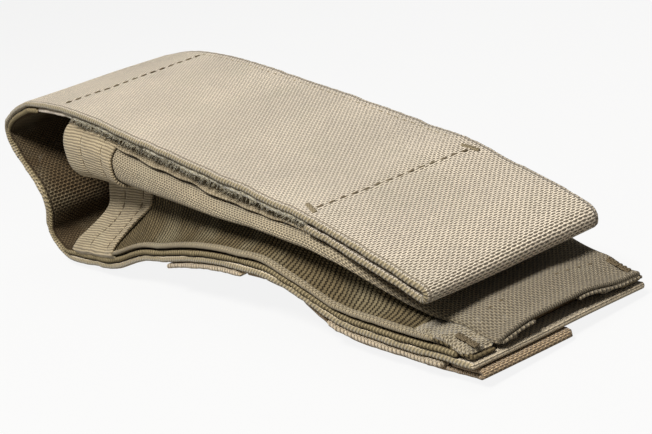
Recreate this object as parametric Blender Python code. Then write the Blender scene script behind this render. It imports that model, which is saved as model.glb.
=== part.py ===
"""A webbing pouch for a pocket torch, lying on its back with its flap closed.

The script works in millimetres and writes metres. X runs from the mouth and the crown of
the flap (-X) to the sewn bottom end (+X), Y runs across the webbing and Z is up. The origin
is the middle of the base.
"""
import bpy
import bmesh
from math import atan2, cos, pi, sin

MM = 0.001

# ---- cloth ---------------------------------------------------------------------------------
WEBBING_WIDTH = 50.8        # two inch webbing: back, crown and flap
WEBBING_THICK = 1.6
STRAP_WIDTH = 25.4          # one inch strap on the back
STRAP_THICK = 1.1
ROW_THICK = 1.1             # crosswise attachment rows
PANEL_THICK = 1.3           # cloth of the front panel
GUSSET_THICK = 0.9
FLANGE_THICK = 0.9
LOOP_THICK = 1.6
HOOK_THICK = 0.9
HOOK_WIDTH = 47.0
LOOP_WIDTH = 49.6           # the loop tape reaches the webbing's edges
THREAD_THICK = 0.4
THREAD_WIDTH = 1.2
STITCH_INSET = 3.0          # stitches keep this far from a webbing's edge
LAYER_GAP = 0.3             # air left between sewn layers
JOINT_GAP = 0.4             # air left where two bodies meet at a fold

# ---- back ----------------------------------------------------------------------------------
END_X = 103.25              # sewn bottom end
BASE_X = -83.0              # fold where the crown leaves the back
ARCH_HEIGHT = 11.6          # the back stands clear of the table in its middle
ARCH_START_X = -78.0
ARCH_TOP_X = 14.0
ARCH_FALL_X = 27.0
ARCH_END_X = 68.0

# ---- crown and flap ------------------------------------------------------------------------
CROWN_TOP_X = -81.0         # fold where the flap leaves the crown
CROWN_TOP_Z = 50.5
CROWN_REACH = 21.5          # how far the crown bulges past the base fold
FOLD_LEAD = 1.0             # the webbing is straight for this much beside each fold
FLAP_LENGTH = 176.0
FLAP_DROP = 32.4            # the tip lies this much lower than the crown
HEM_LENGTH = 39.0           # end of the flap turned under
HEM_GAP = 1.4               # air inside the turned hem
FLAP_LINING_LENGTH = 5.0
CROWN_STITCH_X = -57.7
LOOP_START_X = -75.4
HOOK_START_X = -31.5
HOOK_LENGTH = 87.5
HOOK_CLEARANCE = 0.4        # air between the closed hook and loop tapes

# ---- front panel and gussets ---------------------------------------------------------------
MOUTH_X = -59.0
BINDING_WIDTH = 27.0
BOTTOM_HEM_WIDTH = 9.45     # the panel hinges on the seam where this hem starts
DIP_START_X = 62.0
ROLL_WIDTH = 8.0            # rolled side edges of the panel
ROLL_HEIGHT_MOUTH = 13.4
ROLL_HEIGHT_MID = 4.4
ROLL_HEIGHT_END = 1.8
ROLL_MID_X = 30.0
FLANGE_WIDTH = 7.0
FLANGE_START_X = -76.0
GUSSET_END_INSET = 9.4      # the gussets stop this much short of the panel's end
PLEAT_DEPTH_MOUTH = 7.0
PLEAT_DEPTH_END = 5.0

# ---- bottom end ----------------------------------------------------------------------------
DRAIN_RISE = 1.6            # the hem lifts this much in its middle and leaves a drain
BARTACK_LENGTH = 7.0
BARTACK_WIDTH = 2.6

# ---- attachment webbing on the back ---------------------------------------------------------
ROW_WIDTH = 38.1
ROW_CLEARANCE = 1.4         # between a row and the strap piece beside it
STRAP_INSET = 1.4           # the strap lies this far in from the near edge
STRAP_ANCHOR_X = 22.0
STRAP_ANCHOR_LENGTH = 8.0
STRAP_RISE_LENGTH = 10.0    # the strap leaves the back over this length to clear the lower row
STRAP_FOLD_LENGTH = 8.6     # end of the strap turned back on itself

STEP = 5.0                  # spacing of the sections along the pouch

HALF_WIDTH = WEBBING_WIDTH / 2
LINING_IN = WEBBING_THICK + LAYER_GAP                  # depth of the second webbing layer
LINED = LINING_IN + WEBBING_THICK                      # depth of both webbing layers
ROW_DROP = LAYER_GAP + ROW_THICK
HEM_START_X = END_X - BOTTOM_HEM_WIDTH
PANEL_END_X = HEM_START_X - JOINT_GAP
GUSSET_END_X = PANEL_END_X - GUSSET_END_INSET
UPPER_ROW_X = STRAP_ANCHOR_X - ROW_CLEARANCE - ROW_WIDTH
LOWER_ROW_X = END_X - STRAP_FOLD_LENGTH - ROW_CLEARANCE - ROW_WIDTH
STRAP_HINGE_X = STRAP_ANCHOR_X + STRAP_ANCHOR_LENGTH
STRAP_LOW_Y = -HALF_WIDTH + STRAP_INSET
STRAP_HIGH_Y = STRAP_LOW_Y + STRAP_WIDTH
END_Z = STRAP_THICK + LAYER_GAP + ROW_DROP             # the back webbing lies this high there
FLAP_TIP_X = CROWN_TOP_X + FLAP_LENGTH
HEM_LINE_X = FLAP_TIP_X - HEM_LENGTH
HEM_THICK = 2 * WEBBING_THICK + HEM_GAP
FLAP_STACK = max(LINING_IN + LOOP_THICK, HEM_THICK)
PANEL_DROP = FLAP_STACK + HOOK_CLEARANCE + HOOK_THICK + LAYER_GAP
PANEL_END_Z = END_Z + LINED + 2 * LAYER_GAP + FLANGE_THICK + ROLL_HEIGHT_END

# Share of the flap's length and share of its drop: it leaves the crown level, sags evenly
# over the pouch and bends down where its end is doubled.
FLAP_SHAPE = ((0.0, 0.0), (0.09, 0.0), (0.22, 0.071), (0.405, 0.25), (0.57, 0.42), (0.71, 0.562),
              (0.775, 0.622), (0.86, 0.757), (0.93, 0.868), (1.0, 1.0))

# Share of the crown's reach and of its height: up round the lower bulge, in at the waist and
# out to the top bulge.
CROWN_SHAPE = ((0.2, 0.024), (0.4, 0.1), (0.44, 0.2), (0.31, 0.345), (0.38, 0.46), (0.69, 0.59),
               (0.94, 0.715), (1.0, 0.8), (0.9, 0.87), (0.65, 0.925), (0.33, 0.965))


def smooth(value):
    """Ease from 0 to 1."""
    value = min(1.0, max(0.0, value))
    return value * value * (3 - 2 * value)


def mix(a, b, share):
    return a + (b - a) * share


def curve_through(points, steps):
    """Points of a smooth curve through the given points."""
    first = [2 * a - b for a, b in zip(points[0], points[1])]
    last = [2 * a - b for a, b in zip(points[-1], points[-2])]
    knots = [first] + [list(point) for point in points] + [last]
    result = []
    for index in range(1, len(knots) - 2):
        before, start, end, after = knots[index - 1:index + 3]
        for step in range(steps):
            t = step / steps
            result.append(tuple(
                0.5 * (2 * b + (c - a) * t + (2 * a - 5 * b + 4 * c - d) * t ** 2
                       + (3 * b - a - 3 * c + d) * t ** 3)
                for a, b, c, d in zip(before, start, end, after)))
    result.append(tuple(points[-1]))
    return result


def height_on(curve, x):
    """Height of a curve that runs along +X."""
    for (x0, z0), (x1, z1) in zip(curve, curve[1:]):
        if x <= x1:
            return mix(z0, z1, (x - x0) / (x1 - x0))
    (x0, z0), (x1, z1) = curve[-2:]
    return mix(z0, z1, (x - x0) / (x1 - x0))


FLAP_CURVE = [(CROWN_TOP_X + u * FLAP_LENGTH, CROWN_TOP_Z - v * FLAP_DROP)
              for u, v in curve_through(FLAP_SHAPE, 5)]


def back_z(x):
    """Underside of the back webbing."""
    if x < ARCH_FALL_X:
        return ARCH_HEIGHT * smooth((x - ARCH_START_X) / (ARCH_TOP_X - ARCH_START_X))
    return mix(ARCH_HEIGHT, END_Z, smooth((x - ARCH_FALL_X) / (ARCH_END_X - ARCH_FALL_X)))


def flap_z(x):
    """Upper face of the flap."""
    return height_on(FLAP_CURVE, x)


def panel_z(x):
    """Upper face of the front panel, which dips to the back past the flap's doubled end."""
    under_flap = flap_z(min(x, FLAP_TIP_X)) - PANEL_DROP
    return mix(under_flap, PANEL_END_Z, smooth((x - DIP_START_X) / (END_X - DIP_START_X)))


def roll_height(x):
    """Height of the rolled side edges of the front panel."""
    if x < ROLL_MID_X:
        return mix(ROLL_HEIGHT_MOUTH, ROLL_HEIGHT_MID, (x - MOUTH_X) / (ROLL_MID_X - MOUTH_X))
    return mix(ROLL_HEIGHT_MID, ROLL_HEIGHT_END, smooth((x - ROLL_MID_X) / (PANEL_END_X - ROLL_MID_X)))


def stations(start, end):
    count = max(1, round((end - start) / STEP))
    return [mix(start, end, index / count) for index in range(count + 1)]


def back_path(start, end):
    return [(x, back_z(x)) for x in stations(start, end)]


def inward(path, depth):
    """The path moved sideways to its right hand by a depth."""
    moved = []
    for index, (x, z) in enumerate(path):
        x0, z0 = path[max(0, index - 1)]
        x1, z1 = path[min(len(path) - 1, index + 1)]
        length = ((x1 - x0) ** 2 + (z1 - z0) ** 2) ** 0.5
        moved.append((x + depth * (z1 - z0) / length, z - depth * (x1 - x0) / length))
    return moved


def material(name, color, roughness, metallic=0.0):
    made = bpy.data.materials.new(name)
    made.use_nodes = True
    shader = made.node_tree.nodes["Principled BSDF"]
    shader.inputs["Base Color"].default_value = (*color, 1.0)
    shader.inputs["Roughness"].default_value = roughness
    shader.inputs["Metallic"].default_value = metallic
    return made


def finish(name, mesh, color, pivot=None):
    """Turn a bmesh in millimetres into an object whose origin is its pivot."""
    origin = tuple(value * MM for value in (pivot or (0.0, 0.0, 0.0)))
    for vert in mesh.verts:
        vert.co = [value * MM - offset for value, offset in zip(vert.co, origin)]
    bmesh.ops.recalc_face_normals(mesh, faces=mesh.faces)
    data = bpy.data.meshes.new(name)
    mesh.to_mesh(data)
    mesh.free()
    data.materials.append(material(name, color, 0.85))
    made = bpy.data.objects.new(name, data)
    made.location = origin
    bpy.context.scene.collection.objects.link(made)
    return made


def strip(name, outer, inner, y_low, y_high, color, pivot=None):
    """A flat woven piece: the band between two paths in XZ, pulled across Y."""
    mesh = bmesh.new()
    near = [[mesh.verts.new((x, y_low, z)) for x, z in path] for path in (outer, inner)]
    faces = []
    for index in range(len(outer) - 1):
        faces.append(mesh.faces.new((near[0][index], near[0][index + 1],
                                     near[1][index + 1], near[1][index])))
    pulled = bmesh.ops.extrude_face_region(mesh, geom=faces)["geom"]
    moved = [item for item in pulled if isinstance(item, bmesh.types.BMVert)]
    bmesh.ops.translate(mesh, verts=moved, vec=(0.0, y_high - y_low, 0.0))
    return finish(name, mesh, color, pivot)


def layer(name, path, depth, thick, y_low, y_high, color, pivot=None):
    """A strip that lies at a depth below a path."""
    return strip(name, inward(path, depth), inward(path, depth + thick), y_low, y_high, color, pivot)


def loft(name, rings, color, pivot=None, paired=False):
    """A solid through closed sections that hold the same number of points.

    Paired sections run out along one face and back along the other, so their end caps are
    made of quads between the two faces.
    """
    mesh = bmesh.new()
    rows = [[mesh.verts.new(point) for point in ring] for ring in rings]
    count = len(rows[0])
    for before, after in zip(rows, rows[1:]):
        for index in range(count):
            other = (index + 1) % count
            mesh.faces.new((before[index], before[other], after[other], after[index]))
    for row in (rows[0], rows[-1]):
        if not paired:
            mesh.faces.new(row)
            continue
        for index in range(count // 2 - 1):
            mesh.faces.new((row[index], row[index + 1], row[-2 - index], row[-1 - index]))
    return finish(name, mesh, color, pivot)


TAN = (0.42, 0.35, 0.24)
LIGHT_TAN = (0.50, 0.43, 0.31)
OLIVE = (0.24, 0.20, 0.13)
BROWN = (0.40, 0.28, 0.16)
PILE = (0.30, 0.29, 0.22)
HOOK = (0.46, 0.38, 0.22)
THREAD = (0.20, 0.15, 0.09)

CROWN_PIVOT = (BASE_X, 0.0, back_z(BASE_X))
FLAP_PIVOT = (CROWN_TOP_X, 0.0, CROWN_TOP_Z)
PANEL_PIVOT = (PANEL_END_X + JOINT_GAP / 2, 0.0, PANEL_END_Z - PANEL_THICK)
STRAP_PIVOT = (STRAP_HINGE_X, 0.0, back_z(STRAP_HINGE_X) - LAYER_GAP - STRAP_THICK)


def build_back():
    """Two layers of webbing that lie on the table."""
    path = back_path(BASE_X + JOINT_GAP / 2, END_X)[::-1]
    layer("back_webbing", path, 0.0, WEBBING_THICK, -HALF_WIDTH, HALF_WIDTH, TAN)
    layer("back_lining", path, LINING_IN, WEBBING_THICK, -HALF_WIDTH, HALF_WIDTH, OLIVE)


def crown_path():
    """Outer face of the crown, from the base fold up to the flap."""
    start = (BASE_X - JOINT_GAP / 2, CROWN_PIVOT[2])
    end = (CROWN_TOP_X - JOINT_GAP / 2, CROWN_TOP_Z)
    points = [(start[0] - FOLD_LEAD, start[1])]
    for reach, rise in CROWN_SHAPE:
        points.append((BASE_X - reach * CROWN_REACH, rise * CROWN_TOP_Z))
    points.append((end[0] - FOLD_LEAD, end[1]))
    return [start] + curve_through(points, 3) + [end]


def build_crown():
    """The webbing folds up out of the back and over towards the front."""
    path = crown_path()
    layer("crown_webbing", path, 0.0, WEBBING_THICK, -HALF_WIDTH, HALF_WIDTH, TAN, CROWN_PIVOT)
    layer("crown_lining", path, LINING_IN, WEBBING_THICK, -HALF_WIDTH, HALF_WIDTH, OLIVE,
          CROWN_PIVOT)


def flap_path(start, end):
    return [(x, flap_z(x)) for x in stations(start, end)]


def build_flap_webbing():
    """The outer webbing runs to the tip and turns back under itself as a hem."""
    top = flap_path(CROWN_TOP_X + JOINT_GAP / 2, FLAP_TIP_X - HEM_THICK / 2)
    hem = flap_path(HEM_LINE_X, FLAP_TIP_X - HEM_THICK / 2)
    (x0, z0), (x1, z1) = top[-2:]
    slope = atan2(z1 - z0, x1 - x0)
    centre = inward(top, HEM_THICK / 2)[-1]

    def turn(radius):
        angles = [slope + pi / 2 - pi * step / 8 for step in range(1, 8)]
        return [(centre[0] + radius * cos(a), centre[1] + radius * sin(a)) for a in angles]

    outer = top + turn(HEM_THICK / 2) + inward(hem, HEM_THICK)[::-1]
    inner = (inward(top, WEBBING_THICK) + turn(HEM_GAP / 2)
             + inward(hem, HEM_THICK - WEBBING_THICK)[::-1])
    strip("flap_webbing", outer, inner, -HALF_WIDTH, HALF_WIDTH, LIGHT_TAN, FLAP_PIVOT)


def thread_row(name, x, half_length, pivot):
    """A row of stitches across the flap."""
    path = [(x, flap_z(x)), (x + THREAD_WIDTH, flap_z(x + THREAD_WIDTH))]
    layer(name, path, -LAYER_GAP - THREAD_THICK, THREAD_THICK, -half_length, half_length, THREAD,
          pivot)


def build_flap_trim():
    """Lining, loop tape, stitch rows and bar tacks of the flap."""
    lining = flap_path(CROWN_TOP_X + JOINT_GAP / 2, CROWN_TOP_X + FLAP_LINING_LENGTH)
    layer("flap_lining", lining, LINING_IN, WEBBING_THICK, -HALF_WIDTH, HALF_WIDTH, OLIVE,
          FLAP_PIVOT)
    tape = flap_path(LOOP_START_X, HEM_LINE_X - LAYER_GAP)
    layer("flap_loop_tape", tape, LINING_IN, LOOP_THICK, -LOOP_WIDTH / 2, LOOP_WIDTH / 2, PILE,
          FLAP_PIVOT)
    inset = HALF_WIDTH - STITCH_INSET
    thread_row("crown_stitch_row", CROWN_STITCH_X, inset, FLAP_PIVOT)
    thread_row("hem_stitch_row", HEM_LINE_X + THREAD_WIDTH, inset - BARTACK_WIDTH - 1.0, FLAP_PIVOT)
    for side, name in ((-1, "near_hem_bartack"), (1, "far_hem_bartack")):
        path = flap_path(HEM_LINE_X - BARTACK_LENGTH / 2, HEM_LINE_X + BARTACK_LENGTH / 2)
        middle = side * (inset - BARTACK_WIDTH / 2)
        layer(name, path, -LAYER_GAP - THREAD_THICK, THREAD_THICK,
              middle - BARTACK_WIDTH / 2, middle + BARTACK_WIDTH / 2, THREAD, FLAP_PIVOT)


def panel_ring(x):
    """Section of the front panel: thin in its middle, with a rolled edge at each side."""
    top = panel_z(x)
    roll = roll_height(x)
    radius = min(roll / 2, ROLL_WIDTH / 2)
    corner = [(HALF_WIDTH - radius + radius * cos(a), top - radius + radius * sin(a))
              for a in (pi / 2, pi / 3, pi / 6, 0.0)]
    lower = [(HALF_WIDTH - radius + radius * cos(a), top - roll + radius + radius * sin(a))
             for a in (0.0, -pi / 6, -pi / 3, -pi / 2)]
    side = corner + lower[1:] if roll <= 2 * radius + 0.01 else corner + lower
    if len(side) == 7:
        side.insert(4, (HALF_WIDTH, top - roll / 2 - 0.01))
    edge = [(HALF_WIDTH - ROLL_WIDTH, top - roll),
            (HALF_WIDTH - ROLL_WIDTH - 1.0, top - PANEL_THICK)]
    right = side + edge
    left = [(-y, z) for y, z in reversed(right)]
    return [(x, y, z) for y, z in right + left]


def build_panel():
    """Front panel, its mouth binding and its hook tape."""
    start = MOUTH_X + BINDING_WIDTH
    loft("front_panel", [panel_ring(x) for x in stations(start, PANEL_END_X)], OLIVE, PANEL_PIVOT)
    loft("mouth_binding", [panel_ring(x) for x in stations(MOUTH_X, start - LAYER_GAP)], TAN,
         PANEL_PIVOT)
    path = [(x, panel_z(x) + LAYER_GAP + HOOK_THICK)
            for x in stations(HOOK_START_X, HOOK_START_X + HOOK_LENGTH)]
    layer("hook_tape", path, 0.0, HOOK_THICK, -HOOK_WIDTH / 2, HOOK_WIDTH / 2, HOOK, PANEL_PIVOT)


def gusset_point(side, share, rise):
    """A point on the pleated side: share runs from the mouth to the end, rise from the flange up."""
    start = mix(FLANGE_START_X, MOUTH_X, smooth(1.6 * rise))
    x = mix(start, GUSSET_END_X, share)
    low = back_z(x) + LINED + 2 * LAYER_GAP + FLANGE_THICK
    high = panel_z(x) - roll_height(max(x, MOUTH_X)) - LAYER_GAP
    depth = mix(PLEAT_DEPTH_MOUTH, PLEAT_DEPTH_END, share) * (1 - abs(2 * rise - 1))
    return x, side * (HALF_WIDTH - 1.5 - depth), mix(low, high, rise)


def gusset_half(name, side, rises, shares, color, pivot):
    """One half of a pleated side, from the flange or the rolled edge to the crease."""
    rings = []
    for share in shares:
        outer = [gusset_point(side, share, rise) for rise in rises]
        inner = [(x, y - side * 1.6 * GUSSET_THICK, z) for x, y, z in outer]
        rings.append(outer + inner[::-1])
    loft(name, rings, color, pivot, paired=True)


def build_gussets():
    """The sides fold in between the front panel and the back."""
    edge = BINDING_WIDTH / (GUSSET_END_X - MOUTH_X)
    gap = JOINT_GAP / (GUSSET_END_X - MOUTH_X)
    bound = [(edge - gap) * index / 5 for index in range(6)]
    open_run = [mix(edge, 1.0, index / 24) for index in range(25)]
    lower = (0.0, 0.16, 0.33, 0.485)
    upper = (0.515, 0.67, 0.84, 1.0)
    for side, word in ((-1, "near"), (1, "far")):
        gusset_half(word + "_gusset_lower", side, lower, open_run, OLIVE, None)
        gusset_half(word + "_gusset_upper", side, upper, open_run, OLIVE, PANEL_PIVOT)
        gusset_half(word + "_lower_binding", side, lower, bound, TAN, None)
        gusset_half(word + "_upper_binding", side, upper, bound, TAN, PANEL_PIVOT)
        path = back_path(FLANGE_START_X, END_X)[::-1]
        ys = sorted((side * (HALF_WIDTH - FLANGE_WIDTH), side * HALF_WIDTH))
        layer(word + "_flange", path, LINED + LAYER_GAP, FLANGE_THICK, *ys, OLIVE)


def hem_ring(x):
    """Section of the bottom hem, lifted in its middle."""
    base = back_z(x) + LINED + 2 * LAYER_GAP + FLANGE_THICK
    ys = [mix(-HALF_WIDTH, HALF_WIDTH, index / 12) for index in range(13)]
    low = [(x, y, base + DRAIN_RISE * smooth(1.5 - 2 * abs(y) / HALF_WIDTH)) for y in ys]
    high = [(x, y, z + PANEL_THICK) for x, y, z in low]
    return low + high[::-1]


def build_bottom():
    """The hem that closes the bottom end, its stitches and its corner bar tacks."""
    middle_x = mix(HEM_START_X, END_X, 0.5)
    loft("bottom_hem", [hem_ring(x) for x in (HEM_START_X, middle_x, END_X)], OLIVE, paired=True)
    top = END_Z + LINED + 3 * LAYER_GAP + FLANGE_THICK + PANEL_THICK
    for side, name in ((-1, "near_corner_bartack"), (1, "far_corner_bartack")):
        middle = side * (HALF_WIDTH - STITCH_INSET / 2 - BARTACK_WIDTH / 2)
        x0 = HEM_START_X + STITCH_INSET / 2
        path = [(x0, top + THREAD_THICK), (x0 + BARTACK_LENGTH, top + THREAD_THICK)]
        layer(name, path, 0.0, THREAD_THICK, middle - BARTACK_WIDTH / 2,
              middle + BARTACK_WIDTH / 2, THREAD)


def build_rows():
    """Crosswise rows sewn to the back."""
    for name, start in (("upper_row", UPPER_ROW_X), ("lower_row", LOWER_ROW_X)):
        path = back_path(start, start + ROW_WIDTH)
        layer(name, path, LAYER_GAP, ROW_THICK, -HALF_WIDTH, HALF_WIDTH, TAN)


def strap_z(x):
    """Upper face of the strap, which drops to pass under the lower row."""
    drop = ROW_DROP * smooth(1 - (LOWER_ROW_X - ROW_CLEARANCE - x) / STRAP_RISE_LENGTH)
    return back_z(x) - LAYER_GAP - drop


def build_strap():
    """Lengthwise strap: sewn at its upper end, free to swing away from the back."""
    anchor = [(x, strap_z(x)) for x in stations(STRAP_ANCHOR_X, STRAP_HINGE_X - JOINT_GAP / 2)]
    layer("strap_anchor", anchor, 0.0, STRAP_THICK, STRAP_LOW_Y, STRAP_HIGH_Y, BROWN)
    run = [(x, strap_z(x)) for x in stations(STRAP_HINGE_X + JOINT_GAP / 2, END_X)]
    fold = STRAP_THICK + LAYER_GAP
    radius = fold / 2 + STRAP_THICK / 2
    centre = (END_X, strap_z(END_X) + LAYER_GAP / 2)

    def turn(size):
        angles = [-pi / 2 + pi * step / 6 for step in range(1, 6)]
        return [(centre[0] + size * cos(a), centre[1] + size * sin(a)) for a in angles]

    fold_x = END_X - STRAP_FOLD_LENGTH
    top = centre[1] + radius
    outer = inward(run, STRAP_THICK) + turn(radius) + [(END_X, top), (fold_x, top)]
    inner = run + turn(LAYER_GAP / 2) + [(END_X, top - STRAP_THICK), (fold_x, top - STRAP_THICK)]
    strip("molle_strap", outer, inner, STRAP_LOW_Y, STRAP_HIGH_Y, BROWN, STRAP_PIVOT)
    tack_x = mix(STRAP_ANCHOR_X, STRAP_HINGE_X, 0.5)
    path = [(tack_x + offset, strap_z(tack_x + offset) - STRAP_THICK - LAYER_GAP)
            for offset in (-BARTACK_WIDTH / 2, BARTACK_WIDTH / 2)]
    layer("strap_bartack", path, 0.0, THREAD_THICK, STRAP_LOW_Y + STITCH_INSET,
          STRAP_HIGH_Y - STITCH_INSET, THREAD)


def build():
    for old in list(bpy.data.objects):
        bpy.data.objects.remove(old, do_unlink=True)
    build_back()
    build_crown()
    build_flap_webbing()
    build_flap_trim()
    build_panel()
    build_gussets()
    build_bottom()
    build_rows()
    build_strap()


build()
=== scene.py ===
"""Visual model of a webbing pouch for a pocket torch, lying on its back with its flap closed.

Lengths are in millimetres until a piece is finished, and metres from then on. X runs from the
crown (-X) to the sewn bottom end (+X), Y runs across the webbing and Z is up.
"""
from functools import lru_cache
from math import atan2, cos, pi, radians, sin
from random import Random

import bmesh
import bpy
from mathutils import Matrix, Vector, noise


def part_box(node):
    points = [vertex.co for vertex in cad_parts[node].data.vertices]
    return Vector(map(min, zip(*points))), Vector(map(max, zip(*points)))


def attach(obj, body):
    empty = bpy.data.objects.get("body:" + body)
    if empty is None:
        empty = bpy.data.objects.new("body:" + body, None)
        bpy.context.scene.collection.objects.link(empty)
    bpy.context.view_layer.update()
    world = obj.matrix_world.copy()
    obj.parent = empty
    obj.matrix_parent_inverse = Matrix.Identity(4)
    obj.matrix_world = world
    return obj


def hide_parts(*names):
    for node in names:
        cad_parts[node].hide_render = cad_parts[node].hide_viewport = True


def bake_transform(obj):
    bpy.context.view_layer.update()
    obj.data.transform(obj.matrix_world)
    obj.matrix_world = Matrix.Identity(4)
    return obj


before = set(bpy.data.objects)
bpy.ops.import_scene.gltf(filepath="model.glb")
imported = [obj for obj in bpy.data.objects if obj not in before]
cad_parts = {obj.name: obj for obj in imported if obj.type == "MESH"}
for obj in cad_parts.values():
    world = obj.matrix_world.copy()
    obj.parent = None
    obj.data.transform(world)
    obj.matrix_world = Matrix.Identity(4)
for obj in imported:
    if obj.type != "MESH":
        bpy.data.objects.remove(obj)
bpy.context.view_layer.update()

noise.seed_set(7)
MM = 0.001


def span_of(node, axis=0):
    """Lowest and highest place of a CAD node along an axis, in millimetres."""
    low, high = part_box(node)
    return low[axis] / MM, high[axis] / MM


# ---- sizes taken from the frame --------------------------------------------------------------
HALF_WIDTH = span_of("back_webbing", 1)[1]
END_X = span_of("back_webbing")[1]
MOUTH_X, BINDING_END_X = span_of("mouth_binding")
BINDING_WIDTH = BINDING_END_X - MOUTH_X
FLANGE_START_X = span_of("near_flange")[0]
FLAP_TIP_X = span_of("flap_webbing")[1]
HOOK_START_X, HOOK_END_X = span_of("hook_tape")
HOOK_HALF = span_of("hook_tape", 1)[1]
LOOP_START_X, LOOP_END_X = span_of("flap_loop_tape")
LOOP_HALF = span_of("flap_loop_tape", 1)[1]
LINING_END_X = span_of("flap_lining")[1]
CROWN_STITCH_X = span_of("crown_stitch_row")[0]
HEM_STITCH_X = span_of("hem_stitch_row")[0]
PANEL_END_X = span_of("front_panel")[1]
STRAP_LOW_Y, STRAP_HIGH_Y = span_of("molle_strap", 1)
STRAP_ANCHOR_X, STRAP_ANCHOR_END_X = span_of("strap_anchor")
STRAP_HINGE_X = STRAP_ANCHOR_END_X + 0.2
UPPER_ROW = span_of("upper_row")
LOWER_ROW = span_of("lower_row")

# ---- cloth: layers, tapes and seams ----------------------------------------------------------
WEBBING_THICK = 1.6
STRAP_THICK = 1.1
ROW_THICK = 1.1
LAYER_GAP = 0.3
LINING_IN = WEBBING_THICK + LAYER_GAP
LINED = LINING_IN + WEBBING_THICK
HEM_GAP = 1.4
HEM_THICK = 2 * WEBBING_THICK + HEM_GAP
HEM_LENGTH = 39.0
FLANGE_RISE = 2 * LAYER_GAP + 0.9
PANEL_THICK = 1.1
GUSSET_THICK = 0.8
GUSSET_LENGTH = 178.0
FLANGE_SHARE = 0.22             # of the gusset's width lies flat on the lining
BINDING_THICK = 0.9
BINDING_ROWS = (5.2, 16.8)      # stitch rows, from the tape's outer edge
BINDING_TURN = 2.4
BINDING_INNER = 6.0
LINING_BACK = 4.5               # the lining stops this much short of the bottom end
STITCH_INSET = 3.0
FIBRES = 900                    # loose ones along the loop tape's edges
FLOOR_Z = -1.9

# ---- curves, as in the part's source ---------------------------------------------------------
END_Z = 2.8
ARCH_HEIGHT = 11.6              # the back stands clear of the table in its middle
ARCH_START_X = -78.0
ARCH_TOP_X = 14.0
ARCH_FALL_X = 27.0
ARCH_END_X = 68.0
BASE_X = -83.0
CROWN_TOP_X = -81.0
CROWN_TOP_Z = 50.5
CROWN_REACH = 21.5
FLAP_LENGTH = 176.0
FLAP_DROP = 32.4
PANEL_DROP = 6.2                # from the flap's face down to the panel's
PANEL_END_Z = 9.6
PANEL_DIP_X = 62.0              # the panel leaves the flap's line here
ROLL_MID_X = 30.0
ROLL_HEIGHTS = (13.4, 4.4, 1.8)  # at the mouth, in the middle and at the end
FLAP_SHAPE = ((0.0, 0.0), (0.09, 0.0), (0.22, 0.071), (0.405, 0.25), (0.57, 0.42), (0.71, 0.562),
              (0.775, 0.622), (0.86, 0.757), (0.93, 0.868), (1.0, 1.0))
CROWN_SHAPE = ((0.2, 0.024), (0.4, 0.1), (0.44, 0.2), (0.31, 0.345), (0.38, 0.46), (0.69, 0.59),
               (0.94, 0.715), (1.0, 0.8), (0.9, 0.87), (0.65, 0.925), (0.33, 0.965))


def smooth(value):
    """Ease from 0 to 1."""
    value = min(1.0, max(0.0, value))
    return value * value * (3 - 2 * value)


def mix(a, b, share):
    return a + (b - a) * share


def rough(x, y, z):
    """Noise from about -1 to 1 at a place."""
    return noise.noise(Vector((x, y, z)))


def curve_through(points, steps):
    """Points of a smooth curve through the given points."""
    first = [2 * a - b for a, b in zip(points[0], points[1])]
    last = [2 * a - b for a, b in zip(points[-1], points[-2])]
    knots = [first] + [list(point) for point in points] + [last]
    result = []
    for index in range(1, len(knots) - 2):
        before, start, end, after = knots[index - 1:index + 3]
        for step in range(steps):
            t = step / steps
            result.append(tuple(
                0.5 * (2 * b + (c - a) * t + (2 * a - 5 * b + 4 * c - d) * t ** 2
                       + (3 * b - a - 3 * c + d) * t ** 3)
                for a, b, c, d in zip(before, start, end, after)))
    result.append(tuple(points[-1]))
    return result


def height_on(curve, x):
    """Height of a curve that runs along +X."""
    for (x0, z0), (x1, z1) in zip(curve, curve[1:]):
        if x <= x1:
            return mix(z0, z1, (x - x0) / (x1 - x0))
    (x0, z0), (x1, z1) = curve[-2:]
    return mix(z0, z1, (x - x0) / (x1 - x0))


FLAP_CURVE = [(CROWN_TOP_X + u * FLAP_LENGTH, CROWN_TOP_Z - v * FLAP_DROP)
              for u, v in curve_through(FLAP_SHAPE, 8)]


def back_z(x):
    """Underside of the back webbing."""
    if x < ARCH_FALL_X:
        return ARCH_HEIGHT * smooth((x - ARCH_START_X) / (ARCH_TOP_X - ARCH_START_X))
    return mix(ARCH_HEIGHT, END_Z, smooth((x - ARCH_FALL_X) / (ARCH_END_X - ARCH_FALL_X)))


def flap_z(x):
    """Upper face of the flap."""
    return height_on(FLAP_CURVE, x)


def panel_z(x):
    """Upper face of the front panel."""
    under_flap = flap_z(min(x, FLAP_TIP_X)) - PANEL_DROP
    return mix(under_flap, PANEL_END_Z, smooth((x - PANEL_DIP_X) / (END_X - PANEL_DIP_X)))


def roll_height(x):
    """Height of the rolled side edges of the front panel."""
    mouth, middle, end = ROLL_HEIGHTS
    if x < ROLL_MID_X:
        return mix(mouth, middle, (x - MOUTH_X) / (ROLL_MID_X - MOUTH_X))
    return mix(middle, end, smooth((x - ROLL_MID_X) / (PANEL_END_X - ROLL_MID_X)))


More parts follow.
